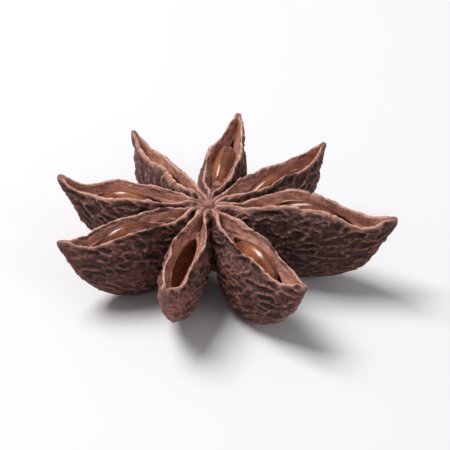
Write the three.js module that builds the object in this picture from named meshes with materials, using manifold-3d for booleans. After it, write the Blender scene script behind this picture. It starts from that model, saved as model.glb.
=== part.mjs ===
// Star anise pod: a dried, woody fruit of eight boat-shaped follicles that radiate from a short hub.
// Each follicle has split along its upper edge, and most still hold their seed. The stub of the stalk
// is under the hub, and the pod rests on the keels of its follicles.
// Millimetres, +Z up. The origin is on the resting plane, below the middle of the pod's outline.

import * as THREE from "three";
import { mergeVertices } from "three/addons/utils/BufferGeometryUtils.js";
import Module from "manifold-3d";

const wasm = await Module();
wasm.setup();

// ---- Driving dimensions ----

const hubTop = 7.2; // height at which the split edges meet, above the lowest keels
const hubRadius = 2.0;
const hubFoot = 2.4; // height of the hub's underside
const stalkRadius = 0.9;
const stalkFoot = 0.7; // height at which the stalk has broken off
const stalkLean = 0.5; // sideways offset of the broken end
const stalkFlare = 0.25; // share by which the stalk is thicker at its root
const stalkRoot = 1.2; // the stalk starts this far up in the hub
const bossHeight = 0.15; // the hub's top stands this far over the splits

const wall = 0.6; // thickness of a follicle's side
const keelWall = 0.95; // thickness along the keel
const lipWidth = 0.32; // width of each lip's upper edge
const lipDepth = 1.5; // below the lips the hollow widens over this depth
const restDepth = 0.2; // how far a keel is flattened where it rests

const seedLength = 5.6;
const seedHeight = 4.0;
const seedWidth = 1.85;

// One entry for each follicle, anticlockwise from above. turn is its direction in degrees, length is from
// the hub's axis to the tip of the beak, depth is from the split edge to the keel, gape is the widest part
// of the split, lift is the keel's height over the lowest keels, fall is how far the split edge drops on
// its way out, rise is how far the beak turns up again, sweep bends the follicle sideways and lean tips it
// over in degrees. seed is the share of the full seed size, 0 for none, and sunk is how far the seed lies
// under the split edge.
const follicles = [
  { turn: -11, length: 15.6, depth: 8.9, width: 4.7, gape: 1.6, lift: 0, fall: 1.5, rise: 0.8, sweep: -0.6,
    lean: 6, seed: 1, sunk: 0.7 },
  { turn: 36, length: 12.5, depth: 6.9, width: 4.0, gape: 2.1, lift: 0.4, fall: 0.5, rise: 0.8, sweep: 0.5,
    lean: -4, seed: 0.93, sunk: 0.5 },
  { turn: 80, length: 12.6, depth: 7.3, width: 4.2, gape: 2.5, lift: 0, fall: 0.6, rise: 0.7, sweep: -0.4,
    lean: 3, seed: 1, sunk: 0.3 },
  { turn: 121, length: 11.5, depth: 6.4, width: 3.5, gape: 0.8, lift: 0.6, fall: 0.4, rise: 1.0, sweep: 0.6,
    lean: 6, seed: 0, sunk: 0 },
  { turn: 163, length: 12.9, depth: 7.2, width: 4.1, gape: 2.0, lift: 0, fall: 0.7, rise: 0.9, sweep: 0.5,
    lean: -5, seed: 0.95, sunk: 0.6 },
  { turn: 207, length: 13.2, depth: 7.5, width: 4.2, gape: 2.3, lift: 0, fall: 0.8, rise: 0.7, sweep: -0.6,
    lean: 2, seed: 1, sunk: 0.4 },
  { turn: 253, length: 12.2, depth: 6.9, width: 4.0, gape: 2.2, lift: 0.3, fall: 0.6, rise: 0.9, sweep: 0.3,
    lean: -3, seed: 0, sunk: 0 },
  { turn: 302, length: 13.5, depth: 7.5, width: 4.3, gape: 2.5, lift: 0, fall: 0.9, rise: 0.8, sweep: 0.7,
    lean: -6, seed: 0.97, sunk: 0.4 },
];

// ---- Form of one follicle, with t from 0 on the hub's axis to 1 at the tip of the beak ----

const widestAt = 0.54;
const deepestAt = 0.47;
const hubEndWidth = 0.3; // width on the hub's axis, as a share of the full width
const beakWidth = 0.09; // width and depth of the blunt tip of the beak, likewise
const beakDepth = 0.05;
const hollowStart = 0.17;
const hollowEnd = 0.93;
const seedAt = 0.52; // middle of the seed

const smooth = (from, to, x) => THREE.MathUtils.smoothstep(x, from, to);

function halfWidthAt(f, t) {
  const half = f.width / 2;
  if (t < widestAt) {
    return half * (hubEndWidth + (1 - hubEndWidth) * Math.sin((Math.PI / 2) * (t / widestAt)) ** 1.4);
  }
  const past = (t - widestAt) / (1 - widestAt);
  return half * (1 - past ** 1.7 + beakWidth * past ** 4);
}

// Height of the split edge: from the hub's level to the follicle's own, down a little, and up in the beak.
function edgeAt(f, t) {
  const outward = THREE.MathUtils.lerp(hubTop, f.depth + f.lift, smooth(0.08, deepestAt, t));
  return outward - f.fall * smooth(0.5, 0.9, t) + f.rise * smooth(0.78, 1, t) ** 1.5;
}

// The keel comes down from the hub's foot in a curve, and beyond the deepest place it climbs to the beak.
function depthAt(f, t) {
  if (t < deepestAt) return edgeAt(f, t) - f.lift - (hubFoot - f.lift) * ((deepestAt - t) / deepestAt) ** 2;
  const past = (t - deepestAt) / (1 - deepestAt);
  return f.depth * ((1 - past ** 1.9) ** 0.9 + beakDepth * past ** 4);
}

function gapeAt(f, t) {
  const share = THREE.MathUtils.clamp((t - hollowStart) / (hollowEnd - hollowStart), 0, 1);
  return f.gape * Math.sin(Math.PI * share ** 0.9) ** 0.75;
}

// Half width of the follicle at a share of its depth, 0 on the split edge and 1 on the keel. It is widest
// a little above the middle, and near the split edge it leaves room for the lips.
function outerHalf(f, t, share) {
  const side = halfWidthAt(f, t) * (4 * share * (1 - share)) ** 0.5 * (1.1 - 0.42 * share);
  const lip = Math.min(gapeAt(f, t) / 2 + lipWidth, halfWidthAt(f, t)) * (1 - share) ** 3;
  return Math.max(side, lip);
}

// Half width of the hollow at a depth below the split edge: the gape there, and wider under the lips.
function hollowHalf(f, t, below) {
  const share = THREE.MathUtils.clamp(below / depthAt(f, t), 0, 1);
  const inside = Math.max(outerHalf(f, t, share) - wall, 0.12);
  return THREE.MathUtils.lerp(gapeAt(f, t) / 2, inside, smooth(0, lipDepth, below));
}

// Carries a point of a follicle, given along its length, to its side and by its height, into the pod.
function place(f, t, side, height) {
  const lean = THREE.MathUtils.degToRad(f.lean) * smooth(0.1, 0.5, t);
  const edge = edgeAt(f, t);
  const below = height - edge;
  const across = f.sweep * t ** 2 + side * Math.cos(lean) - below * Math.sin(lean);
  const up = edge + side * Math.sin(lean) + below * Math.cos(lean);
  const point = new THREE.Vector3(f.length * t, across, up);
  return point.applyAxisAngle(new THREE.Vector3(0, 0, 1), THREE.MathUtils.degToRad(f.turn));
}

// ---- Closed bodies ----

// Reshapes a sphere: at(share, angle) gives the point of the ring at that share of the way from one pole
// to the other, and at(share, null) gives a pole.
function bodyFromSphere(sides, rings, at) {
  const geometry = new THREE.SphereGeometry(1, sides, rings);
  const points = geometry.getAttribute("position");
  const point = new THREE.Vector3();
  for (let i = 0; i < points.count; i++) {
    point.fromBufferAttribute(points, i);
    const share = Math.round((rings * Math.acos(THREE.MathUtils.clamp(point.y, -1, 1))) / Math.PI) / rings;
    const onPole = share === 0 || share === 1;
    const placed = at(share, onPole ? null : Math.atan2(point.x, point.z));
    points.setXYZ(i, placed.x, placed.y, placed.z);
  }
  return geometry;
}

function solid(geometry) {
  const bare = geometry.clone();
  bare.deleteAttribute("normal");
  bare.deleteAttribute("uv");
  const merged = mergeVertices(bare, 1e-4);
  const vertProperties = merged.getAttribute("position").array;
  const triVerts = new Uint32Array(merged.index.array);
  return new wasm.Manifold(new wasm.Mesh({ numProp: 3, vertProperties, triVerts }));
}

function geometryOf(made) {
  const mesh = made.getMesh();
  const geometry = new THREE.BufferGeometry();
  geometry.setAttribute("position", new THREE.BufferAttribute(mesh.vertProperties, 3));
  geometry.setIndex(new THREE.BufferAttribute(mesh.triVerts, 1));
  geometry.computeVertexNormals();
  return geometry;
}

// ---- Husk ----

const bodySides = 16;
const bodyRings = 17;
const tipCrowding = 1.25; // over 1, the rings stand closer together towards the beak
const hollowSides = 12;
const hollowRings = 12;
const hollowTop = 0.9; // the cutter of the hollow stands this far over the split edge
const slitShare = 0.25; // share of the cutter's ring, from its top, that is above the split edge

function follicleBody(f) {
  return bodyFromSphere(bodySides, bodyRings, (ring, angle) => {
    const t = 1 - (1 - ring) ** tipCrowding;
    const edge = edgeAt(f, t);
    const depth = depthAt(f, t);
    if (angle === null) return place(f, t, 0, edge - depth / 2);
    const share = (1 - Math.cos(angle)) / 2;
    return place(f, t, Math.sign(Math.sin(angle)) * outerHalf(f, t, share), edge - depth * share);
  });
}

function hollow(f) {
  return bodyFromSphere(hollowSides, hollowRings, (ring, angle) => {
    const t = THREE.MathUtils.lerp(hollowStart, hollowEnd, ring);
    const edge = edgeAt(f, t);
    const depth = Math.max(depthAt(f, t) - keelWall, 0.5);
    if (angle === null) return place(f, t, 0, edge - depth / 2);
    const share = (1 - Math.cos(angle)) / 2;
    const below =
      share < slitShare
        ? -hollowTop * (1 - share / slitShare)
        : (depth * (share - slitShare)) / (1 - slitShare);
    const round = Math.min(1, 1.35 * (4 * share * (1 - share)) ** 0.5);
    return place(f, t, Math.sign(Math.sin(angle)) * hollowHalf(f, t, below) * round, edge - below);
  });
}

// The hub carries the follicles, and its top is a low boss inside the ring of splits.
function hub() {
  const shoulder = new THREE.SplineCurve([
    new THREE.Vector2(0, hubFoot),
    new THREE.Vector2(hubRadius * 0.85, hubFoot + 0.4),
    new THREE.Vector2(hubRadius, (hubFoot + hubTop) / 2),
    new THREE.Vector2(hubRadius * 0.75, hubTop - 0.6),
    new THREE.Vector2(0, hubTop + bossHeight),
  ]);
  const points = shoulder.getPoints(10);
  points[0].x = 0;
  points[10].x = 0;
  return new THREE.LatheGeometry(points, 24).rotateX(Math.PI / 2);
}

function stalkStub() {
  const top = new THREE.Vector3(0, 0, hubFoot + stalkRoot);
  const foot = new THREE.Vector3(stalkLean, -stalkLean, stalkFoot);
  return bodyFromSphere(12, 8, (share, angle) => {
    const centre = top.clone().lerp(foot, share);
    if (angle === null) return centre;
    const radius = stalkRadius * (1 + stalkFlare * (1 - share) ** 2);
    return centre.add(new THREE.Vector3(radius * Math.cos(angle), radius * Math.sin(angle), 0));
  });
}

function huskSolid() {
  let made = solid(hub()).add(solid(stalkStub()));
  for (const f of follicles) made = made.add(solid(follicleBody(f)));
  for (const f of follicles) made = made.subtract(solid(hollow(f)));
  const side = 4 * follicles[0].length;
  const ground = new THREE.BoxGeometry(side, side, side).translate(0, 0, restDepth - side / 2);
  return made.subtract(solid(ground));
}

// ---- Seeds ----

// A seed stands on edge in its hollow: a flattened egg, a little blunter at its outer end.
function seedSolid(f) {
  const length = seedLength * f.seed;
  const height = seedHeight * f.seed;
  const width = seedWidth * f.seed;
  const middle = edgeAt(f, seedAt) - f.sunk - height / 2;
  return bodyFromSphere(12, 10, (share, angle) => {
    const along = -Math.cos(Math.PI * share);
    const girth = Math.sin(Math.PI * share) * (1 + 0.12 * along);
    const t = seedAt + (along * length) / 2 / f.length;
    if (angle === null) return place(f, t, 0, middle);
    const side = (width / 2) * girth * Math.sin(angle);
    return place(f, t, side, middle + (height / 2) * girth * Math.cos(angle));
  });
}

// ---- The pod ----

const huskFinish = { name: "husk", color: 0x7a4d38, roughness: 0.8, metalness: 0 };
const seedFinish = { name: "seed", color: 0x6b3a1e, roughness: 0.25, metalness: 0 };

function piece(name, made, finish) {
  const mesh = new THREE.Mesh(geometryOf(made), new THREE.MeshStandardMaterial(finish));
  mesh.name = name;
  return mesh;
}

const pod = new THREE.Group();
pod.add(piece("husk", huskSolid(), huskFinish));
follicles.forEach((f, i) => {
  if (f.seed > 0) pod.add(piece(`seed_${i + 1}`, solid(seedSolid(f)), seedFinish));
});

const outline = new THREE.Box3().setFromObject(pod);
const middle = outline.getCenter(new THREE.Vector3());
pod.position.set(-middle.x, -middle.y, -outline.min.z);

export default pod;
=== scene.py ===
import math

import bpy
import numpy as np
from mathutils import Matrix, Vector


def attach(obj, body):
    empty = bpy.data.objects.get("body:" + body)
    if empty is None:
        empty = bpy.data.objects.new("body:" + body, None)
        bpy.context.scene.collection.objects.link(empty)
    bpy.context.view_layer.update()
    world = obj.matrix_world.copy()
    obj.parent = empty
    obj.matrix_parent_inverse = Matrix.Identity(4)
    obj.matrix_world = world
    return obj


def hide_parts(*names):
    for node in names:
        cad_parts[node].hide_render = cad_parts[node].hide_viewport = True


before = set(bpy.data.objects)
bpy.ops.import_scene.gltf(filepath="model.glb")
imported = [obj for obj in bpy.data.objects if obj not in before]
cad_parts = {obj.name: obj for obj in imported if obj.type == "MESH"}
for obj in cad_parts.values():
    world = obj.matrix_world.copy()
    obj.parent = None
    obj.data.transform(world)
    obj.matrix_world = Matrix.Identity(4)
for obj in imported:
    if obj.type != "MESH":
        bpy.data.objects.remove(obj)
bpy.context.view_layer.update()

# Everything is modelled in millimetres. A follicle and what is in it are made straight along +X
# from the hub's axis, with the split on top, then bent, turned into the pod and brought to metres.
millimetre = 0.001
hair = 1e-4  # a point this near the middle line is on it
pod = {
    "hubX": -1.363,  # the hub's axis in the frame
    "hubY": -0.294,
    "groundZ": 0.2,  # the flat rest spots, over the lowest keels
    "softGround": 0.12,  # height over which the keels are pressed flat
    "hubTop": 7.2,
    "hubFoot": 2.4,
    "dimple": 0.4,  # how far the splits dip round the boss at the hub's top
    "dimpleRadius": 0.75,
    "dimpleOver": (5.5, 7),  # heights over which the dip sets in
    "patternStep": 20,  # follicles read their patterns this far apart, so that no two are alike
}
form = {  # of every follicle; a place along it is a share of its length
    "widestAt": 0.54,
    "deepestAt": 0.47,
    "splitStart": 0.09,
    "splitEnd": 0.95,
    "chamberStart": 0.2,
    "chamberEnd": 0.88,
    "seedAt": 0.52,
    "hubEndWidth": 0.3,  # shares of the full width or depth
    "beakWidth": 0.09,
    "beakDepth": 0.06,
    "hubEndPower": 1.4,  # powers that round the outlines, seen from above and from the side
    "outerPower": 1.7,
    "beakPower": 4,
    "heelPower": 2,
    "keelPower": 1.9,
    "keelEndPower": 0.9,
    "edgeLevelTo": 0.08,  # the split edge is as high as the hub up to here
    "fallOver": (0.5, 0.9),
    "riseOver": (0.78, 1),
    "risePower": 1.5,
    "leanOver": (0.1, 0.5),
    "gapeSkew": 0.9,  # powers that shape the opening, seen from above
    "gapeFullness": 0.75,
    "gapeOver": (0, 0.24),  # shares of the split over which it opens
    "gapeOverPower": 0.7,
    "shoulder": 1.1,  # a section is fullest above its middle and narrows to the keel
    "keelNarrowing": 0.42,
    "pinchAt": 0.8,  # the sides draw in beyond the seed
    "pinchReach": 0.09,
    "pinch": 0.1,
    "pinchDown": (0.05, 0.35),  # shares of the depth over which the pinch sets in
    "lipWidth": 0.32,
    "lipPower": 3,
    "lipDepth": 1.25,  # height of the split's flat faces
    "wall": 0.55,
    "keelWall": 0.9,
    "roof": 0.75,  # the chamber's top is this far below the split edge
}
follicles = [  # degrees and millimetres; seed and sunk are the seed's size and how low it lies
    dict(turn=-11, length=15.6, depth=8.9, width=4.7, gape=1.6, lift=0, fall=1.5, rise=0.8,
         sweep=-0.6, lean=6, seed=1, sunk=0.7, tone=0.05),
    dict(turn=36, length=12.5, depth=6.9, width=4.0, gape=2.1, lift=0.4, fall=0.5, rise=0.8,
         sweep=0.5, lean=-4, seed=0.93, sunk=0.5, tone=0.45),
    dict(turn=80, length=12.6, depth=7.3, width=4.2, gape=2.5, lift=0, fall=0.6, rise=0.7,
         sweep=-0.4, lean=3, seed=1, sunk=0.3, tone=0.6),
    dict(turn=121, length=11.5, depth=6.4, width=3.5, gape=0.8, lift=0.6, fall=0.4, rise=1.0,
         sweep=0.6, lean=6, seed=0, sunk=0, tone=0.25),
    dict(turn=163, length=12.9, depth=7.2, width=4.1, gape=2.0, lift=0, fall=0.7, rise=0.9,
         sweep=0.5, lean=-5, seed=0.95, sunk=0.6, tone=0.5),
    dict(turn=207, length=13.2, depth=7.5, width=4.2, gape=2.3, lift=0, fall=0.8, rise=0.7,
         sweep=-0.6, lean=2, seed=1, sunk=0.4, tone=0.45),
    dict(turn=253, length=12.2, depth=6.9, width=4.0, gape=2.2, lift=0.3, fall=0.6, rise=0.9,
         sweep=0.3, lean=-3, seed=0, sunk=0, tone=0.75),
    dict(turn=302, length=13.5, depth=7.5, width=4.3, gape=2.5, lift=0, fall=0.9, rise=0.8,
         sweep=0.7, lean=-6, seed=0.97, sunk=0.4, tone=0.5),
]


def within(low, high, x):  # 0 at low and 1 at high
    return np.clip((x - low) / (high - low), 0, 1)


def smooth(low, high, x):  # the same, eased at both
    share = within(low, high, x)
    return share * share * (3 - 2 * share)


def bell(x):
    return np.exp(-(x**2))


def atLeast(least, share):  # from least to 1, as the share goes from 0 to 1
    return least + (1 - least) * share


# The form of a follicle: f is its row of settings, and t a place along it
def halfWidth(f, t):
    inner = np.sin(np.pi / 2 * within(0, form["widestAt"], t)) ** form["hubEndPower"]
    past = within(form["widestAt"], 1, t)
    outer = 1 - past ** form["outerPower"] + form["beakWidth"] * past ** form["beakPower"]
    return f["width"] / 2 * np.where(past > 0, outer, atLeast(form["hubEndWidth"], inner))


def edgeHeight(f, t):
    climb = smooth(form["edgeLevelTo"], form["deepestAt"], t)
    outward = pod["hubTop"] + (f["depth"] + f["lift"] - pod["hubTop"]) * climb
    turnedUp = f["rise"] * smooth(*form["riseOver"], t) ** form["risePower"]
    return outward - f["fall"] * smooth(*form["fallOver"], t) + turnedUp


def depthOf(f, t):
    inner = within(form["deepestAt"], 0, t)
    past = within(form["deepestAt"], 1, t)
    heel = (pod["hubFoot"] - f["lift"]) * inner ** form["heelPower"]
    nearHub = edgeHeight(f, t) - f["lift"] - heel
    keel = (1 - past ** form["keelPower"]) ** form["keelEndPower"]
    beyond = f["depth"] * (keel + form["beakDepth"] * past ** form["beakPower"])
    return np.where(past > 0, beyond, nearHub)


def gapeAt(f, t):
    share = within(form["splitStart"], form["splitEnd"], t)
    opened = smooth(*form["gapeOver"], share) ** form["gapeOverPower"]
    return f["gape"] * np.sin(np.pi * share ** form["gapeSkew"]) ** form["gapeFullness"] * opened


def outerHalf(f, t, share):  # half the width, at a share of the depth below the split edge
    share = np.clip(share, 0, 1)
    oval = (4 * share * (1 - share)) ** 0.5
    side = halfWidth(f, t) * oval * (form["shoulder"] - form["keelNarrowing"] * share)
    drawn = form["pinch"] * bell((t - form["pinchAt"]) / form["pinchReach"])
    side = side * (1 - drawn * smooth(*form["pinchDown"], share))
    lip = np.minimum(gapeAt(f, t) / 2 + form["lipWidth"], halfWidth(f, t))
    return np.maximum(side, lip * (1 - share) ** form["lipPower"])


def whereOn(f, co):  # place along the follicle, and distance below its split edge
    t = co[:, 0] / f["length"]
    return t, edgeHeight(f, t) - co[:, 2]


softWave = {"parts": 4, "periods": (0.6, 1.5), "tallest": 2.5}  # shares of the asked period


def waves(random, x, period):  # a soft uneven wave between about -1 and 1
    total = np.zeros_like(x)
    for _ in range(softWave["parts"]):
        length = period * random.uniform(*softWave["periods"])
        total += np.sin(2 * np.pi * (x / length + random.uniform()))
    return total / softWave["tallest"]


def mixedWaves(random, x, parts):  # each part is a height and a period
    return sum(height * waves(random, x, period) for height, period in parts)


# Mesh and modifier helpers
def vertexValues(piece, kind):
    flat = np.empty(len(piece.data.vertices) * 3)
    piece.data.vertices.foreach_get(kind, flat)
    return flat.reshape(-1, 3)


def points(piece):
    return vertexValues(piece, "co")


def normals(piece):
    return vertexValues(piece, "normal")


def movePoints(piece, co):
    piece.data.vertices.foreach_set("co", co.ravel())
    piece.data.update()


def setSides(co, half):  # puts both sides at a half width, and leaves the middle line
    co[:, 1] = np.where(np.abs(co[:, 1]) > hair, np.sign(co[:, 1]) * half, 0)


def pick(piece):
    bpy.ops.object.select_all(action="DESELECT")
    piece.select_set(True)
    bpy.context.view_layer.objects.active = piece


def addModifier(piece, kind, **settings):
    pick(piece)
    bpy.ops.object.modifier_add(type=kind)
    modifier = piece.modifiers[-1]
    for name, value in settings.items():
        setattr(modifier, name, value)
    bpy.ops.object.modifier_apply(modifier=modifier.name)


def keepValue(piece, name, values):  # a value at each point, which the materials read
    attribute = piece.data.attributes.new(name, "FLOAT", "POINT")
    attribute.data.foreach_set("value", np.full(len(attribute.data), values, np.float32))


def keepStraight(piece, offset):  # where each point is before it is bent, for the patterns
    attribute = piece.data.attributes.new("straight", "FLOAT_VECTOR", "POINT")
    places = points(piece) + [0, 0, offset]
    attribute.data.foreach_set("vector", np.asarray(places, np.float32).ravel())


def weigh(piece, name, weights, steps=20):  # a vertex group, its weights rounded to steps
    group = piece.vertex_groups.new(name=name)
    rounded = np.round(np.clip(weights, 0, 1) * steps).astype(int)
    for step in range(1, steps + 1):
        chosen = np.flatnonzero(rounded == step)
        if len(chosen):
            group.add(chosen.tolist(), step / steps, "REPLACE")


def sortFaces(piece):  # the order in which operators leave faces differs from run to run
    faces = []
    for face in piece.data.polygons:
        corners = list(face.vertices)
        first = corners.index(min(corners))
        faces.append(corners[first:] + corners[:first])
    places = [vertex.co[:] for vertex in piece.data.vertices]
    piece.data.clear_geometry()
    piece.data.from_pydata(places, [], sorted(faces))
    piece.data.update()


def loft(name, rings, corners, turned=(0, 0, 0)):  # a ring is its middle and its size by axis
    middle, size = rings[0]
    bpy.ops.object.select_all(action="DESELECT")
    bpy.ops.mesh.primitive_circle_add(vertices=corners, radius=1, fill_type="NGON",
                                      location=middle, rotation=turned)
    piece = bpy.context.object
    piece.name = name
    bpy.ops.object.transform_apply(location=True, rotation=True, scale=True)
    bpy.ops.object.mode_set(mode="EDIT")
    bpy.ops.mesh.select_all(action="SELECT")
    bpy.ops.transform.resize(value=size, center_override=middle)
    for (lastMiddle, lastSize), (middle, size) in zip(rings, rings[1:]):
        step = [float(b - a) for a, b in zip(lastMiddle, middle)]
        bpy.ops.mesh.extrude_region_move(TRANSFORM_OT_translate={"value": step})
        growth = [float(b / a) for a, b in zip(lastSize, size)]
        bpy.ops.transform.resize(value=growth, center_override=middle)
    bpy.ops.mesh.select_all(action="SELECT")
    bpy.ops.mesh.normals_make_consistent(inside=False)
    bpy.ops.object.mode_set(mode="OBJECT")
    sortFaces(piece)
    return piece


def loftAlong(name, x, middle, half, tall, corners):  # rings across the X axis
    rings = [((float(a), 0.0, float(b)), (1.0, float(c), float(d)))
             for a, b, c, d in zip(x, middle, half, tall)]
    return loft(name, rings, corners, (0, math.pi / 2, 0))


def cut(piece, cutter):
    addModifier(piece, "BOOLEAN", operation="DIFFERENCE", solver="EXACT", object=cutter)
    bpy.data.objects.remove(cutter)


def mend(piece, smallest=0.0002):  # takes out the faces without area that a cut can leave
    pick(piece)
    bpy.ops.object.mode_set(mode="EDIT")
    bpy.ops.mesh.select_all(action="SELECT")
    bpy.ops.mesh.dissolve_degenerate(threshold=smallest)
    bpy.ops.object.mode_set(mode="OBJECT")
    sortFaces(piece)


def texture(name, kind, **settings):
    made = bpy.data.textures.new(name, kind)
    for key, value in settings.items():
        setattr(made, key, value)
    return made


lumps = texture("lumps", "CLOUDS", noise_scale=1.0, noise_depth=1)
folds = texture("folds", "VORONOI", noise_scale=1.0, weight_1=-1.0, weight_2=1.0,
                noise_intensity=1.0)
ridges = texture("ridges", "MUSGRAVE", musgrave_type="RIDGED_MULTIFRACTAL", noise_scale=1.0,
                 octaves=2.0, lacunarity=2.2, dimension_max=0.9, noise_intensity=1.0, offset=1.0,
                 gain=1.6)
creases = texture("creases", "CLOUDS", noise_scale=1.0, noise_depth=2, noise_type="HARD_NOISE")
grain = texture("grain", "CLOUDS", noise_scale=1.0, noise_depth=2)


def wrinkle(piece, pattern, size, height, group="", offset=0.0, stretch=(1, 1, 1), slope=0.0):
    bpy.ops.object.select_all(action="DESELECT")
    bpy.ops.object.empty_add(location=(0, offset, 0), rotation=(0, math.radians(slope), 0))
    mark = bpy.context.object  # the pattern's size and place
    mark.scale = [size * share for share in stretch]
    bpy.context.view_layer.update()
    addModifier(piece, "DISPLACE", texture=pattern, texture_coords="OBJECT",
                texture_coords_object=mark, strength=height, mid_level=0.5, vertex_group=group,
                direction="NORMAL")
    bpy.data.objects.remove(mark)


def creaseAt(piece, rounds):  # below 0 in a hollow line, above 0 on a ridge
    count = len(piece.data.vertices)
    ends = np.empty(len(piece.data.edges) * 2, int)
    piece.data.edges.foreach_get("vertices", ends)
    a, b = ends[::2], ends[1::2]
    degree = np.bincount(a, minlength=count) + np.bincount(b, minlength=count)

    def average(values):  # of the points at the other ends of each point's edges
        total = np.stack([np.bincount(a, values[b, k], count) + np.bincount(b, values[a, k], count)
                          for k in range(values.shape[1])], axis=1)
        return total / degree[:, None]

    co = points(piece)
    blurred = co
    for _ in range(rounds):
        blurred = average(blurred)
    raised = np.sum((co - blurred) * normals(piece), axis=1)[:, None]
    return average(raised)[:, 0]


def placeInPod(piece, f):
    co = points(piece)
    t = co[:, 0] / f["length"]
    lean = math.radians(f["lean"]) * smooth(*form["leanOver"], t)
    edge = edgeHeight(f, t)
    above = co[:, 2] - edge
    across = f["sweep"] * t**2 + co[:, 1] * np.cos(lean) - above * np.sin(lean)
    up = edge + co[:, 1] * np.sin(lean) + above * np.cos(lean)
    turn = math.radians(f["turn"])
    x = co[:, 0] * math.cos(turn) - across * math.sin(turn)
    y = co[:, 0] * math.sin(turn) + across * math.cos(turn)
    settle(piece, np.stack([x, y, up], axis=1))


def settle(piece, co):  # from the pod's millimetres to the frame's metres
    if piece.name.startswith("follicle"):
        out = np.hypot(co[:, 0], co[:, 1]) / pod["dimpleRadius"]
        co[:, 2] -= pod["dimple"] * bell(out) * smooth(*pod["dimpleOver"], co[:, 2])
    x, y, z = co[:, 0] + pod["hubX"], co[:, 1] + pod["hubY"], co[:, 2] - pod["groundZ"]
    soft = pod["softGround"]
    z = np.where(z < soft, soft * np.exp(np.minimum(z, soft) / soft - 1), z)
    movePoints(piece, np.stack([x, y, z], axis=1) * millimetre)


def finishPiece(piece, material, node):
    pick(piece)
    bpy.ops.object.shade_smooth()
    piece.data.materials.clear()
    piece.data.materials.append(material)
    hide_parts(node)
    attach(piece, "root")


# Material helpers
def colour(red, green, blue):  # from the usual 0 to 255 to Blender's linear values
    shares = [value / 255 for value in (red, green, blue)]
    return [s / 12.92 if s <= 0.04045 else ((s + 0.055) / 1.055) ** 2.4 for s in shares] + [1]


def newMaterial(name):
    material = bpy.data.materials.new(name)
    material.use_nodes = True
    return material, material.node_tree, material.node_tree.nodes["Principled BSDF"]


def addNode(tree, kind, inputs, **settings):
    node = tree.nodes.new("ShaderNode" + kind)
    for name, value in settings.items():
        setattr(node, name, value)
    for name, value in inputs.items():
        if isinstance(value, bpy.types.NodeSocket):
            tree.links.new(value, node.inputs[name])
        else:
            node.inputs[name].default_value = value
    return node


def stored(tree, name, output="Fac"):
    return addNode(tree, "Attribute", {}, attribute_name=name).outputs[output]


def noise(tree, place, scale, detail=3.0, roughness=0.55, stretch=(1, 1, 1)):
    along = addNode(tree, "Mapping", {"Vector": place, "Scale": stretch}).outputs["Vector"]
    inputs = {"Vector": along, "Scale": scale, "Detail": detail, "Roughness": roughness}
    return addNode(tree, "TexNoise", inputs).outputs["Fac"]


def ramp(tree, value, stops):
    node = addNode(tree, "ValToRGB", {"Fac": value})
    elements = node.color_ramp.elements
    while len(elements) < len(stops):
        elements.new(0.5)
    for element, (place, shade) in zip(elements, stops):
        element.position = place
        element.color = shade
    return node.outputs["Color"]


def mix(tree, share, first, second, blend="MIX"):
    inputs = {0: share, 6: first, 7: second}  # the colour sockets of a Mix node
    return addNode(tree, "Mix", inputs, data_type="RGBA", blend_type=blend).outputs[2]


def spread(tree, value, low, high, newLow, newHigh):
    inputs = {"Value": value, "From Min": low, "From Max": high,
              "To Min": newLow, "To Max": newHigh}
    return addNode(tree, "MapRange", inputs).outputs["Result"]


def times(tree, first, second):
    return addNode(tree, "Math", {0: first, 1: second}, operation="MULTIPLY").outputs[0]


def plus(tree, first, second):
    return addNode(tree, "Math", {0: first, 1: second}, operation="ADD").outputs[0]


def addBump(tree, shader, height, strength, distance):
    inputs = {"Height": height, "Strength": strength, "Distance": distance * millimetre}
    tree.links.new(addNode(tree, "Bump", inputs).outputs["Normal"], shader.inputs["Normal"])


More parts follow.
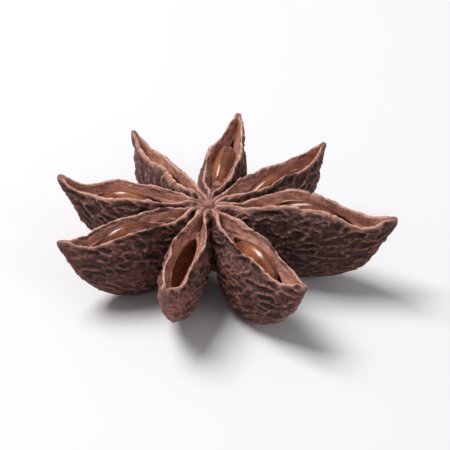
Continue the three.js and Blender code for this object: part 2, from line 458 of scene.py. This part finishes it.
# Husk: the dry, wrinkled skin of the follicles
husk = {
    "grid": 0.076,  # voxel of the finished skin
    "smoothing": 2,  # rounds that take the voxels' steps off
    "hidden": 0.12,  # share of the points kept behind the lining
    "lumps": dict(size=3.0, height=0.45),
    "ridges": dict(size=0.72, height=0.16, stretch=(2.2, 1, 1)),
    "creases": dict(size=0.35, height=0.13, stretch=(1.6, 1, 1)),
    "grain": dict(size=0.2, height=0.05, stretch=(2, 1, 1)),
    "slope": -22,  # degrees, so that the ridges climb outwards
    "slopeSpread": 12,
    "wrinkleStep": 31,  # follicles take their wrinkles from places this far apart
    "calmEnds": 0.3,  # share of the wrinkles left at the beak's tip and the hub
    "calmLip": 0.93,  # shares of the wrinkles taken off the lips and the keel
    "calmKeel": 0.45,
    "grainOffInside": 0.7,
    "grainOffLip": 0.6,
    "creaseRounds": 8,  # rounds of blurring that tell hollow lines from ridges
    "bead": 0.05,  # the lips stand out a little, over a shallow channel
    "beadAt": 0.2,
    "beadReach": 0.22,
    "channel": 0.8,
    "channelAt": 0.75,
    "channelReach": 0.28,
    "waveReach": 1.4,  # the split edges are uneven, less and less further down
    "waveHeight": 0.13,
    "waveWidth": 0.12,
    "riseWaves": [(1, 4.2), (0.3, 1.1)],  # heights and periods
    "sideWaves": [(1, 5.0), (0.25, 1.4)],
    "rippleWaves": [(1, 0.5), (1, 0.9)],
    "ripple": 0.13,
    "rippleDown": (0.6, 0.1),
    "step": 0.5,  # one lip stands higher than the other
    "nicks": 4,  # small tears in one lip or the other
    "nickPlaces": (0.25, 0.9),
    "nickDepths": (0.08, 0.22),
    "nickWidth": 0.13,
    "groove": 0.13,  # depth of the seam where the split is still shut
    "grooveWidth": 0.11,
    "grooveDown": (0.9, 0.3),
    "patches": dict(scale=0.33, detail=3, roughness=0.6),
    "streaks": dict(scale=3.0, detail=5, roughness=0.65, stretch=(0.35, 1, 1)),
    "specks": dict(scale=7.0, detail=6, roughness=0.75),
    "strokes": dict(scale=6.0, detail=4, roughness=0.65, stretch=(1, 1, 0.2)),
    "grit": dict(scale=11.0, detail=5, roughness=0.75, stretch=(0.6, 1, 1)),
    "pits": dict(scale=13.0, detail=4, roughness=0.7, stretch=(0.7, 1, 1)),
    "toneShift": (-0.2, 0.13),  # for the darkest and the rustiest follicle
    "skinShades": [(0.28, colour(41, 24, 25)), (0.44, colour(82, 49, 48)),
                   (0.58, colour(130, 80, 72)), (0.74, colour(169, 108, 95))],
    "streakShades": [(0.3, colour(55, 33, 34)), (0.52, colour(105, 65, 58)),
                     (0.72, colour(157, 105, 95))],
    "streaking": 0.5,
    "gritShift": (0.35, 0.65, -0.014, 0.014),  # a pattern's low and high, and what they become
    # painted shade: the skin is darkened in the hollow lines of its wrinkles
    "paintedShadeShare": (0.0, -0.033, 0, 0.9),
    "paintedShadeColour": colour(27, 15, 16),
    # lighter on the ridges of the wrinkles: partly wear, partly a painted highlight
    "ridgeWearAndHighlightShare": (0.006, 0.05, 0, 0.5),
    "ridgeWearAndHighlightColour": colour(201, 141, 126),
    "faceShades": [(0.3, colour(139, 89, 75)), (0.5, colour(185, 126, 106)),
                   (0.72, colour(219, 163, 144))],
    "strokeShare": (0.45, 0.7, 0, 0.5),
    "strokeShade": colour(121, 75, 64),
    "wornShades": [(0.32, colour(136, 86, 75)), (0.5, colour(180, 122, 105)),
                   (0.68, colour(221, 167, 147))],
    "wornShare": (0.35, 0.6, 0.35, 0.85),
    # a pale line along the lips' sharp edges: partly their paler margin, partly a painted highlight
    "edgeWearAndHighlightShare": (-0.005, 0.055, 0, 0.62),
    "edgeWearAndHighlightColour": colour(235, 187, 168),
    "speckling": (0.35, 0.65, 0.76, 1.2),
    "dullness": (0.3, 0.7, 0.66, 0.88),
    "faceGloss": -0.17,
    "specular": 0.4,
    "bump": (0.9, 0.06),  # strength and height
}


def huskMaterial():
    material, tree, shader = newMaterial("dryHusk")
    straight = stored(tree, "straight", "Vector")
    inside, lip = stored(tree, "inside"), stored(tree, "lip")
    patches, streaks, specks, strokes, grit, pits = (
        noise(tree, straight, **husk[name])
        for name in ("patches", "streaks", "specks", "strokes", "grit", "pits"))
    crease = plus(tree, stored(tree, "crease"), spread(tree, grit, *husk["gritShift"]))
    toned = plus(tree, patches, spread(tree, stored(tree, "tone"), 0, 1, *husk["toneShift"]))
    base = ramp(tree, toned, husk["skinShades"])
    skin = mix(tree, husk["streaking"], base, ramp(tree, streaks, husk["streakShades"]))
    # painted shade, darkest in the hollow lines
    skin = mix(tree, spread(tree, crease, *husk["paintedShadeShare"]), skin, husk["paintedShadeColour"])
    # lighter on the ridges: partly wear, partly a painted highlight
    skin = mix(tree, spread(tree, crease, *husk["ridgeWearAndHighlightShare"]), skin, husk["ridgeWearAndHighlightColour"])
    faces = ramp(tree, streaks, husk["faceShades"])
    faces = mix(tree, spread(tree, strokes, *husk["strokeShare"]), faces, husk["strokeShade"])
    skin = mix(tree, inside, skin, faces)
    bare = times(tree, lip, spread(tree, patches, *husk["wornShare"]))
    skin = mix(tree, bare, skin, ramp(tree, streaks, husk["wornShades"]))
    # pale line on the lips' sharp edges: partly their paler margin, partly a painted highlight
    edge = times(tree, lip, spread(tree, crease, *husk["edgeWearAndHighlightShare"]))
    skin = mix(tree, edge, skin, husk["edgeWearAndHighlightColour"])
    dotted = mix(tree, 1.0, skin, spread(tree, specks, *husk["speckling"]), "MULTIPLY")
    tree.links.new(dotted, shader.inputs["Base Color"])
    dull = spread(tree, streaks, *husk["dullness"])
    dull = plus(tree, dull, times(tree, inside, husk["faceGloss"]))
    tree.links.new(dull, shader.inputs["Roughness"])
    shader.inputs["Specular IOR Level"].default_value = husk["specular"]
    fibres = times(tree, inside, plus(tree, strokes, strokes))
    rough = plus(tree, plus(tree, specks, specks), pits)
    addBump(tree, shader, plus(tree, plus(tree, streaks, fibres), rough), *husk["bump"])
    return material


hull = {
    "rings": 24,
    "corners": 20,
    "ends": (0.004, 0.996),
    "crowding": 1.25,  # power that brings the rings closer together towards the beak
}


def addHull(f, name):
    t = 1 - (1 - np.linspace(*hull["ends"], hull["rings"])) ** hull["crowding"]
    edge, depth, half = edgeHeight(f, t), depthOf(f, t), halfWidth(f, t)
    body = loftAlong(name, f["length"] * t, edge - depth / 2, half, depth / 2, hull["corners"])
    co = points(body)
    t, below = whereOn(f, co)
    setSides(co, outerHalf(f, t, below / depthOf(f, t)))
    movePoints(body, co)
    addModifier(body, "SUBSURF", levels=2, render_levels=2)
    return body


split = {
    "rings": 26,
    "corners": 16,
    "leastHalf": 0.03,
    "throat": 0.6,  # opening at the foot of the flat faces, as a share of the gape
    "flare": 0.17,  # the faces lean out towards the lips, which end in thin edges
    "flareOver": (0.02, 0.25),  # half gapes over which the flare sets in
    "deepestShare": 0.45,  # the flat faces take up this share of the depth at most
}


def addSplit(f, narrow=1.0, deeper=0.0):
    t = np.linspace(form["splitStart"], form["splitEnd"], split["rings"])
    ones = np.ones_like(t)
    cutter = loftAlong("splitCutter", f["length"] * t, 0 * t, ones, ones, split["corners"])
    co = points(cutter)
    t = co[:, 0] / f["length"]
    gape = np.maximum(gapeAt(f, t) / 2, split["leastHalf"]) * narrow
    flare = split["flare"] * smooth(*split["flareOver"], gape)
    depth = np.minimum(form["lipDepth"], split["deepestShare"] * depthOf(f, t)) + deeper
    height = co[:, 2]  # 1 at the top of a ring, 0 on the split edge, -1 at its foot
    wide = gape + flare * (1 + height)
    setSides(co, np.where(height > 0, wide, wide + gape * (1 - split["throat"]) * height))
    co[:, 2] = edgeHeight(f, t) + np.where(height > 0, height, height * depth)
    movePoints(cutter, co)
    return cutter


chamber = {
    "rings": 20,
    "corners": 20,
    "rounding": 4,  # power that rounds off both ends
    "endFullness": 0.05,
    "endWidth": 0.25,  # shares of the full width and height left at the ends
    "endHeight": 0.35,
    "leastHeight": 0.6,
    "leastHalf": 0.15,
    "leastPulledIn": 0.04,
    "narrowing": 0.35,  # towards the keel
    "narrowDown": (0.45, 0.95),
}


def addChamber(f, name="chamberCutter", spare=0.0):  # spare pulls it in all round
    start, end = form["chamberStart"], form["chamberEnd"]
    t = np.linspace(start, end, chamber["rings"])
    edge, depth = edgeHeight(f, t), depthOf(f, t)
    top = edge - form["roof"] - spare
    foot = np.minimum(edge - depth + form["keelWall"] + spare, top - chamber["leastHeight"])
    along = 2 * (t - start) / (end - start) - 1
    full = np.clip(1 - np.abs(along) ** chamber["rounding"], chamber["endFullness"], 1)
    half = outerHalf(f, t, (edge - (top + foot) / 2) / depth) - form["wall"]
    half = np.maximum(half, chamber["leastHalf"]) * atLeast(chamber["endWidth"], full)
    half = np.maximum(half - spare, chamber["leastPulledIn"])
    tall = (top - foot) / 2 * atLeast(chamber["endHeight"], full)
    centre = (start + end) / 2
    x = centre + (t - centre) * (1 - 2 * spare / (f["length"] * (end - start)))
    hollow = loftAlong(name, f["length"] * x, (top + foot) / 2, half, tall, chamber["corners"])
    co = points(hollow)
    t, below = whereOn(f, co)
    share = below / depthOf(f, t)
    co[:, 1] *= 1 - chamber["narrowing"] * smooth(*chamber["narrowDown"], share)
    movePoints(hollow, co)
    addModifier(hollow, "SUBSURF", levels=1, render_levels=1)
    return hollow


zones = {  # parts of a follicle's skin; a pair is where one starts and where it is whole
    "facesInward": (0.15, 0.5),  # from a point's normal
    "facesOutward": (-0.2, 0.4),
    "facesUp": (0.2, 0.6),
    "offSkin": (0.1, 0.3),  # distances from the outer skin
    "offSkinAtFoot": (0.3, 0.5),
    "footDown": (0.25, 0.4),  # shares of the depth
    "keelDown": (0.82, 0.98),
    "openedFrom": (0.05, 0.4),  # gapes
    "shutTo": (0.02, 0.35),
    "seam": 0.8,
    "seamUp": (0, 0.5),
    "seamReach": (0.45, 0.2),  # distances from the middle line
    "offMiddle": (0.02, 0.4),
    "lipReach": (0.1, 0.75),  # distances below the split edge
    "hiddenBelow": 0.45,  # below the foot of the lips
    "hiddenOffSkin": 0.25,
    "beakTip": (1, 0.93),  # places along the follicle
    "hubEnd": (0, 0.08),
}


def offSkin(f, co, t, share):  # distance sideways from the outer skin
    return outerHalf(f, t, share) - np.abs(co[:, 1])


def markZones(piece, f):  # 1 on the inner faces, and 1 near the split edge
    co, no = points(piece), normals(piece)
    t, below = whereOn(f, co)
    share = below / depthOf(f, t)
    inward = -no[:, 1] * np.sign(co[:, 1])
    deep = offSkin(f, co, t, share)
    walls = smooth(*zones["facesInward"], inward) * smooth(*zones["offSkin"], deep)
    foot = smooth(*zones["facesUp"], no[:, 2]) * smooth(*zones["footDown"], share)
    inside = np.maximum(walls, foot * smooth(*zones["offSkinAtFoot"], deep))
    opened = smooth(*zones["openedFrom"], gapeAt(f, t))
    seam = zones["seam"] * smooth(*zones["seamReach"], np.abs(co[:, 1])) * (1 - opened)
    lip = (1 - smooth(*zones["lipReach"], below)) * (opened + seam)
    return np.clip(inside, 0, 1), lip


def thinHidden(piece, f):  # fewer points on the inner wall, which the lining covers
    inside, _ = markZones(piece, f)
    co = points(piece)
    t, below = whereOn(f, co)
    hidden = (inside > 0.5) & (below > form["lipDepth"] + zones["hiddenBelow"])
    hidden &= offSkin(f, co, t, below / depthOf(f, t)) > zones["hiddenOffSkin"]
    weigh(piece, "hidden", hidden)
    kept = 1 - (1 - husk["hidden"]) * hidden.mean()
    addModifier(piece, "DECIMATE", decimate_type="COLLAPSE", ratio=kept, vertex_group="hidden",
                vertex_group_factor=1000)
    piece.vertex_groups.clear()


def shapeLips(piece, f, random):
    co, no = points(piece), normals(piece)
    t, below = whereOn(f, co)
    side = np.sign(co[:, 1])
    shut = 1 - smooth(*zones["shutTo"], gapeAt(f, t))
    outward = smooth(*zones["facesOutward"], no[:, 1] * side) * (1 - shut)
    bead = bell((below - husk["beadAt"]) / husk["beadReach"])
    channel = husk["channel"] * bell((below - husk["channelAt"]) / husk["channelReach"])
    co[:, 1] += side * outward * husk["bead"] * (bead - channel)
    near = np.exp(-np.maximum(below, 0) / husk["waveReach"])
    near = near * smooth(*zones["offMiddle"], np.abs(co[:, 1]))
    for valve in (-1, 1):
        reach = near * (side == valve)
        rise = mixedWaves(random, co[:, 0], husk["riseWaves"])
        rise += random.uniform(-husk["step"], husk["step"])
        ripple = husk["ripple"] * mixedWaves(random, co[:, 0], husk["rippleWaves"])
        rise += ripple * smooth(*husk["rippleDown"], below)
        co[:, 2] += reach * husk["waveHeight"] * rise
        sideways = mixedWaves(random, co[:, 0], husk["sideWaves"])
        co[:, 1] += reach * husk["waveWidth"] * sideways
    for _ in range(husk["nicks"]):
        middle = random.uniform(*husk["nickPlaces"]) * f["length"]
        valve = random.choice((-1, 1))
        depth = random.uniform(*husk["nickDepths"])
        co[:, 2] -= near * (side == valve) * depth * bell((co[:, 0] - middle) / husk["nickWidth"])
    groove = bell(co[:, 1] / husk["grooveWidth"]) * smooth(*husk["grooveDown"], below)
    co[:, 2] -= husk["groove"] * shut * (groove * smooth(*zones["seamUp"], no[:, 2]))
    movePoints(piece, co)


def wrinkleSkin(piece, f, number, random, inside, lip):
    t, below = whereOn(f, points(piece))
    away = smooth(*zones["beakTip"], t) * smooth(*zones["hubEnd"], t)
    keel = smooth(*zones["keelDown"], below / depthOf(f, t))
    calm = (1 - inside) * (1 - husk["calmLip"] * lip) * atLeast(husk["calmEnds"], away)
    weigh(piece, "outside", calm * (1 - husk["calmKeel"] * keel))
    weigh(piece, "all", (1 - husk["grainOffInside"] * inside) * (1 - husk["grainOffLip"] * lip))
    offset = husk["wrinkleStep"] * number
    slope = husk["slope"] + random.uniform(-husk["slopeSpread"], husk["slopeSpread"])
    wrinkle(piece, lumps, **husk["lumps"], group="outside", offset=offset)
    wrinkle(piece, ridges, **husk["ridges"], group="outside", offset=offset, slope=slope)
    wrinkle(piece, creases, **husk["creases"], group="outside", offset=offset, slope=slope)
    wrinkle(piece, grain, **husk["grain"], group="all", offset=offset)
    keepValue(piece, "crease", creaseAt(piece, husk["creaseRounds"]) * away)


def makeFollicle(f, number):
    random = np.random.default_rng(number)
    shell = addHull(f, f"follicle_{number}")
    cut(shell, addSplit(f))
    cut(shell, addChamber(f))
    addModifier(shell, "REMESH", mode="VOXEL", voxel_size=husk["grid"])
    thinHidden(shell, f)
    addModifier(shell, "SMOOTH", factor=0.5, iterations=husk["smoothing"])
    keepStraight(shell, pod["patternStep"] * number)
    inside, lip = markZones(shell, f)
    keepValue(shell, "inside", inside)
    keepValue(shell, "lip", lip)
    keepValue(shell, "tone", f["tone"])
    shapeLips(shell, f, random)
    wrinkleSkin(shell, f, number, random, inside, lip)
    placeInPod(shell, f)
    finishPiece(shell, dryHusk, "husk")
    print("follicle", number, len(shell.data.polygons))


dryHusk = huskMaterial()
for number, f in enumerate(follicles, 1):
    makeFollicle(f, number)


# Hub: the short column that the follicles stand round, with a small boss on top
hub = {
    "profile": [(2.3, 0.8), (2.5, 1.3), (3.2, 1.75), (4.8, 1.95), (5.9, 1.75), (6.5, 1.3),
                (6.8, 0.7), (7.0, 0.5), (7.2, 0.42), (7.28, 0.3)],  # height and radius
    "corners": 24,
    "grid": 0.08,
    "smoothing": 2,
    "folds": dict(size=0.6, height=0.22, stretch=(1, 1, 2)),
    "creases": dict(size=0.3, height=0.1),
    "creaseRounds": 8,
    "boss": 0.8,  # the boss is as pale as a follicle's inner faces, by this share
    "bossOver": (6.75, 7.05),
    "tone": 0.5,
    "patternAt": 300,
}


def makeHub():
    rings = [((0.0, 0.0, z), (radius, radius, 1.0)) for z, radius in hub["profile"]]
    column = loft("hubColumn", rings, hub["corners"])
    addModifier(column, "SUBSURF", levels=1, render_levels=1)
    addModifier(column, "REMESH", mode="VOXEL", voxel_size=hub["grid"])
    addModifier(column, "SMOOTH", factor=0.5, iterations=hub["smoothing"])
    keepStraight(column, hub["patternAt"])
    wrinkle(column, folds, **hub["folds"])
    wrinkle(column, creases, **hub["creases"])
    co = points(column)
    keepValue(column, "inside", smooth(*hub["bossOver"], co[:, 2]) * hub["boss"])
    keepValue(column, "lip", 0)
    keepValue(column, "tone", hub["tone"])
    keepValue(column, "crease", creaseAt(column, hub["creaseRounds"]))
    settle(column, co)
    finishPiece(column, dryHusk, "husk")
    print("hub", len(column.data.polygons))


makeHub()


# Stalk: the stub below the hub, broken off
stalk = {
    "top": 3.6,
    "foot": 0.75,
    "leanX": 0.5,  # how far the foot stands off the hub's axis
    "leanY": -0.5,
    "leanPower": 1.5,
    "radius": 0.86,
    "flare": 0.3,
    "flarePower": 2,
    "rings": 14,
    "corners": 32,
    "grid": 0.055,
    "brokenEnd": [(0.86, 0.0), (0.6, 0.1), (0.3, 0.05), (0.1, 0.12)],  # share of the radius, height
    "flutes": [(1, 5, 0, 0.6), (0.6, 9, 1.7, -1), (0.4, 14, 0.4, 0)],  # height, count, start, twist
    "fluteDepth": 0.05,
    "fluteOver": (0.3, 0.8),  # distances from the middle
    "splinter": 0.12,
    "splinterReach": 0.35,
    "splinterStretch": 3,
    "splinterPeriods": (0.7, 1.1),  # round the foot and across it
    "brokenFacing": (0.3, 0.7),
    "randomSeed": 40,
    "creases": dict(size=0.25, height=0.07, stretch=(1, 1, 3)),
    "creaseRounds": 6,
    "patternAt": 340,
    "fibres": dict(scale=5.0, detail=5, roughness=0.65, stretch=(1, 1, 0.12)),
    "patches": dict(scale=0.9, detail=3, roughness=0.6),
    "splinters": dict(scale=7.0, detail=4, roughness=0.7),
    "barkShades": [(0.3, colour(84, 54, 47)), (0.5, colour(143, 98, 87)),
                   (0.7, colour(187, 140, 126))],
    "patchShare": (0.4, 0.65, 0, 0.5),
    "patchShade": colour(103, 66, 56),
    # painted shade: the bark is darkened in its hollow lines
    "paintedShadeShare": (0.0, -0.02, 0, 0.7),
    "paintedShadeColour": colour(44, 29, 26),
    "woodShades": [(0.3, colour(147, 103, 82)), (0.7, colour(234, 192, 164))],
    "roughness": 0.8,
    "specular": 0.3,
    "bump": (0.5, 0.05),
}


def stalkMaterial():
    material, tree, shader = newMaterial("dryStalk")
    straight = stored(tree, "straight", "Vector")
    fibres, patches, splinters = (noise(tree, straight, **stalk[name])
                                  for name in ("fibres", "patches", "splinters"))
    bark = ramp(tree, fibres, stalk["barkShades"])
    bark = mix(tree, spread(tree, patches, *stalk["patchShare"]), bark, stalk["patchShade"])
    # painted shade in the hollow lines of the bark
    hollow = spread(tree, stored(tree, "crease"), *stalk["paintedShadeShare"])
    bark = mix(tree, hollow, bark, stalk["paintedShadeColour"])
    bark = mix(tree, stored(tree, "broken"), bark, ramp(tree, splinters, stalk["woodShades"]))
    tree.links.new(bark, shader.inputs["Base Color"])
    shader.inputs["Roughness"].default_value = stalk["roughness"]
    shader.inputs["Specular IOR Level"].default_value = stalk["specular"]
    addBump(tree, shader, fibres, *stalk["bump"])
    return material


def makeStalk():
    rings = []
    for s in np.linspace(0, 1, stalk["rings"]):  # 0 at the top, 1 at the foot
        z = stalk["top"] + (stalk["foot"] - stalk["top"]) * s
        lean = s ** stalk["leanPower"]
        radius = stalk["radius"] * (1 + stalk["flare"] * (1 - s) ** stalk["flarePower"])
        rings.append(((stalk["leanX"] * lean, stalk["leanY"] * lean, z), (radius, radius, 1.0)))
    (x, y, z), (radius, _, _) = rings[-1]
    for inward, rise in stalk["brokenEnd"]:
        rings.append(((x, y, z + rise), (radius * inward, radius * inward, 1.0)))
    stub = loft("stalkStub", rings, stalk["corners"])
    addModifier(stub, "SUBSURF", levels=1, render_levels=1)
    addModifier(stub, "REMESH", mode="VOXEL", voxel_size=stalk["grid"])
    co = points(stub)
    s = within(stalk["top"], stalk["foot"], co[:, 2])
    lean = s ** stalk["leanPower"]
    offX, offY = co[:, 0] - stalk["leanX"] * lean, co[:, 1] - stalk["leanY"] * lean
    angle, out = np.arctan2(offY, offX), np.hypot(offX, offY)
    flutes = sum(height * np.sin(count * angle + start + twist * s)
                 for height, count, start, twist in stalk["flutes"])
    co[:, :2] *= (1 + stalk["fluteDepth"] * flutes * smooth(*stalk["fluteOver"], out))[:, None]
    random = np.random.default_rng(stalk["randomSeed"])
    around, across = stalk["splinterPeriods"]
    splinter = waves(random, angle, around)
    splinter += waves(random, out * stalk["splinterStretch"], across)
    atEnd = smooth(stalk["splinterReach"], 0.0, co[:, 2] - stalk["foot"])
    co[:, 2] -= stalk["splinter"] * splinter * atEnd
    movePoints(stub, co)
    no = normals(stub)
    keepStraight(stub, stalk["patternAt"])
    wrinkle(stub, creases, **stalk["creases"])
    keepValue(stub, "broken", smooth(*stalk["brokenFacing"], -no[:, 2]) * atEnd)
    keepValue(stub, "crease", creaseAt(stub, stalk["creaseRounds"]))
    settle(stub, points(stub))
    finishPiece(stub, stalkMaterial(), "husk")
    print("stalk", len(stub.data.polygons))


makeStalk()


# Linings: the thin glossy shell inside each follicle, with its rim round the foot of the split
lining = {
    "buried": 0.09,  # outer face, behind the husk's own inner wall
    "proud": 0.06,  # inner face, in front of it
    "narrow": 0.92,  # the rim's opening, as a share of the husk's own
    "lower": 0.12,  # the rim stands this far below the foot of the split's faces
    "patternAt": 400,
    "veins": dict(scale=1.6, detail=5, roughness=0.6, stretch=(0.25, 1, 1)),
    "shades": [(0.3, colour(124, 80, 61)), (0.5, colour(167, 113, 88)),
               (0.7, colour(204, 146, 115))],
    "dullness": (0.3, 0.7, 0.22, 0.4),
    "bump": (0.3, 0.05),
}


def liningMaterial():
    material, tree, shader = newMaterial("glossyLining")
    veins = noise(tree, stored(tree, "straight", "Vector"), **lining["veins"])
    tree.links.new(ramp(tree, veins, lining["shades"]), shader.inputs["Base Color"])
    tree.links.new(spread(tree, veins, *lining["dullness"]), shader.inputs["Roughness"])
    addBump(tree, shader, veins, *lining["bump"])
    return material


def makeLining(f, number):
    cup = addChamber(f, f"lining_{number}", -lining["buried"])
    cut(cup, addChamber(f, "chamberCutter", lining["proud"]))
    cut(cup, addSplit(f, lining["narrow"], lining["lower"]))
    mend(cup)
    keepStraight(cup, lining["patternAt"] + pod["patternStep"] * number)
    placeInPod(cup, f)
    finishPiece(cup, glossyLining, "husk")
    print("lining", number, len(cup.data.polygons))


glossyLining = liningMaterial()
for number, f in enumerate(follicles, 1):
    makeLining(f, number)


# Seeds: flattened, glossy, with a pale scar at the inner end
seed = {
    "length": 5.6,
    "height": 4.0,
    "width": 1.85,
    "blunt": 0.12,  # the outer end is blunter
    "flatness": 0.9,  # power that flattens its two sides
    "grown": 1.03,  # over the plain solid's size
    "rimHeight": 0.012,  # shares of the seed's size
    "rimWidth": 0.2,
    "rimOut": (0.5, 0.9),
    "scarDepth": 0.05,
    "scarAt": (-0.93, 0, 0.36),
    "scarReach": (0.3, 0.18),
    "lumps": dict(size=1.8, height=0.12),
    "lumpStep": 17,
    "patternAt": 600,
    "tones": {1: 0.35, 2: 0.6, 3: 0.45, 5: 0.9, 6: 0.3, 8: 0.65},  # 0 is the darkest coat
    "toneShift": (-0.07, 0.07),
    "clouds": dict(scale=0.5, detail=3, roughness=0.55),
    "fine": dict(scale=5.0, detail=4, roughness=0.6, stretch=(0.4, 1, 1)),
    "fineShift": (0.3, 0.7, -0.06, 0.06),
    "coatShades": [(0.3, colour(74, 37, 25)), (0.48, colour(122, 66, 42)),
                   (0.66, colour(163, 98, 64))],
    "rimShade": colour(68, 34, 24),
    "rimDarkness": 0.7,
    "rimDarkWidth": 0.16,
    "scarShade": colour(220, 163, 132),
    "scarPaleAt": (-0.9, 0, 0.3),
    "scarPaleReach": (0.3, 0.2),
    "scarSquash": (1, 0.6, 1),
    "scarDullness": (0.8, 0.8, 0.8, 1),
    "dullness": (0.3, 0.7, 0.22, 0.34),
    "polish": 0.3,
    "polishDullness": 0.14,
    "bump": (0.12, 0.03),
}


def seedMaterial():
    material, tree, shader = newMaterial("seedCoat")
    straight = stored(tree, "straight", "Vector")
    scar = stored(tree, "scar")
    clouds, fine = (noise(tree, straight, **seed[name]) for name in ("clouds", "fine"))
    toned = plus(tree, clouds, spread(tree, fine, *seed["fineShift"]))
    toned = plus(tree, toned, spread(tree, stored(tree, "tone"), 0, 1, *seed["toneShift"]))
    coat = ramp(tree, toned, seed["coatShades"])
    coat = mix(tree, stored(tree, "rim"), coat, seed["rimShade"])
    coat = mix(tree, scar, coat, seed["scarShade"])
    tree.links.new(coat, shader.inputs["Base Color"])
    dull = mix(tree, scar, spread(tree, fine, *seed["dullness"]), seed["scarDullness"])
    tree.links.new(dull, shader.inputs["Roughness"])
    shader.inputs["Coat Weight"].default_value = seed["polish"]
    shader.inputs["Coat Roughness"].default_value = seed["polishDullness"]
    addBump(tree, shader, fine, *seed["bump"])
    return material


def makeSeed(f, number):
    bpy.ops.object.select_all(action="DESELECT")
    bpy.ops.mesh.primitive_uv_sphere_add(segments=36, ring_count=26, radius=1,
                                         rotation=(0, math.pi / 2, 0))
    coat = bpy.context.object
    coat.name = f"seedCoat_{number}"
    bpy.ops.object.transform_apply(location=True, rotation=True, scale=True)
    sortFaces(coat)
    co = points(coat)
    length, height, width = (seed[side] * f["seed"] * seed["grown"]
                             for side in ("length", "height", "width"))
    girth = 1 + seed["blunt"] * co[:, 0]
    rim = bell(co[:, 1] / seed["rimWidth"]) * smooth(*seed["rimOut"], np.hypot(co[:, 0], co[:, 2]))
    scar = smooth(*seed["scarReach"], np.linalg.norm(co - seed["scarAt"], axis=1))
    co *= (1 - seed["scarDepth"] * scar + seed["rimHeight"] * rim)[:, None]
    middle = edgeHeight(f, form["seedAt"]) - f["sunk"] - seed["height"] * f["seed"] / 2
    x = f["length"] * form["seedAt"] + co[:, 0] * length / 2
    y = np.sign(co[:, 1]) * np.abs(co[:, 1]) ** seed["flatness"] * girth * width / 2
    movePoints(coat, np.stack([x, y, middle + co[:, 2] * girth * height / 2], axis=1))
    addModifier(coat, "SUBSURF", levels=1, render_levels=1)
    wrinkle(coat, lumps, **seed["lumps"], offset=seed["lumpStep"] * number)
    place = points(coat) - [f["length"] * form["seedAt"], 0, middle]
    place = place / [length / 2, width / 2, height / 2]
    fromScar = np.linalg.norm(place * seed["scarSquash"] - seed["scarPaleAt"], axis=1)
    keepStraight(coat, seed["patternAt"] + pod["patternStep"] * number)
    keepValue(coat, "tone", seed["tones"][number])
    keepValue(coat, "rim", seed["rimDarkness"] * bell(place[:, 1] / seed["rimDarkWidth"]))
    keepValue(coat, "scar", smooth(*seed["scarPaleReach"], fromScar))
    placeInPod(coat, f)
    finishPiece(coat, chestnut, f"seed_{number}")
    print("seed", number, len(coat.data.polygons))


chestnut = seedMaterial()
for number, f in enumerate(follicles, 1):
    if f["seed"] > 0:
        makeSeed(f, number)


# Studio: floor, light and camera, in metres
studio = {
    "floorSize": 2,
    "floorColour": (0.73, 0.72, 0.735, 1),
    "floorRoughness": 0.9,
    "skyColour": (1, 1, 1, 1),
    "skyStrength": 0.3,
    "lamps": [dict(name="keyLamp", place=(-0.16, 0.06, 0.32), size=0.18, power=1.55),
              dict(name="sideLamp", place=(0.26, -0.2, 0.18), size=0.14, power=0.22)],
    "elevation": 38,  # degrees that the camera looks down by
    "distance": 0.2,
    "target": (0, 0, 0.0043),
    "lens": 195,
    "nearest": 0.01,
}


def addLamp(name, place, size, power):
    bpy.ops.object.select_all(action="DESELECT")
    bpy.ops.object.light_add(type="AREA", location=place)
    lamp = bpy.context.object
    lamp.name = name
    lamp.data.size = size
    lamp.data.energy = power
    lamp.rotation_euler = (-lamp.location).to_track_quat("-Z", "Y").to_euler()


bpy.ops.object.select_all(action="DESELECT")
bpy.ops.mesh.primitive_plane_add(size=studio["floorSize"], location=(0, 0, 0))
floor = bpy.context.object
floor.name = "floor"
floorPaint, _, shader = newMaterial("floorPaint")
shader.inputs["Base Color"].default_value = studio["floorColour"]
shader.inputs["Roughness"].default_value = studio["floorRoughness"]
floor.data.materials.append(floorPaint)

world = bpy.data.worlds.new("studio")
bpy.context.scene.world = world
world.use_nodes = True
sky = world.node_tree.nodes["Background"]
sky.inputs["Color"].default_value = studio["skyColour"]
sky.inputs["Strength"].default_value = studio["skyStrength"]
for lamp in studio["lamps"]:
    addLamp(**lamp)

elevation = math.radians(studio["elevation"])
target = Vector(studio["target"])
back = Vector((0, -math.cos(elevation), math.sin(elevation)))
bpy.ops.object.camera_add(location=target + studio["distance"] * back)
camera = bpy.context.object
camera.rotation_euler = (target - camera.location).to_track_quat("-Z", "Y").to_euler()
camera.data.lens = studio["lens"]
camera.data.clip_start = studio["nearest"]
bpy.context.scene.camera = camera
bpy.context.scene.view_settings.view_transform = "Standard"
print("studio", len(studio["lamps"]), "lamps")
